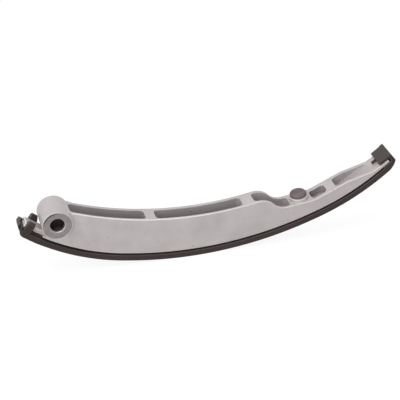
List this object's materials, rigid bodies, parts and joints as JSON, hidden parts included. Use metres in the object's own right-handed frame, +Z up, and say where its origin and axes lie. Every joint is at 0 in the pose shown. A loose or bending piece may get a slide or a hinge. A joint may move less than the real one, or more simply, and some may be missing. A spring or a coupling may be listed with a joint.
{
  "type": "timing chain guide",
  "caption": "Curved pivoting guide for an engine's timing chain: pocketed cast arm with a pivot boss, a clip-on plastic slipper and a pressed-in tensioner button.",
  "frame": {"origin": "middle of the pivot bore, on its axis", "axes": "+X along the arm from the pivot to the tip, +Y along the pivot bore, +Z up on the hollow side where the tensioner pushes"},
  "size_m": [0.2732, 0.024, 0.062],
  "materials": {
    "cast_aluminium": "shot-blasted die casting, pivot faces machined",
    "slipper_plastic": "fine-grained dark brown polyamide moulding",
    "button_steel": "turned and hardened steel, dull grey"
  },
  "bodies": {
    "root": {"arm": "cast_aluminium", "slipper": "slipper_plastic", "tensioner_button": "button_steel"}
  },
  "joints": []
}
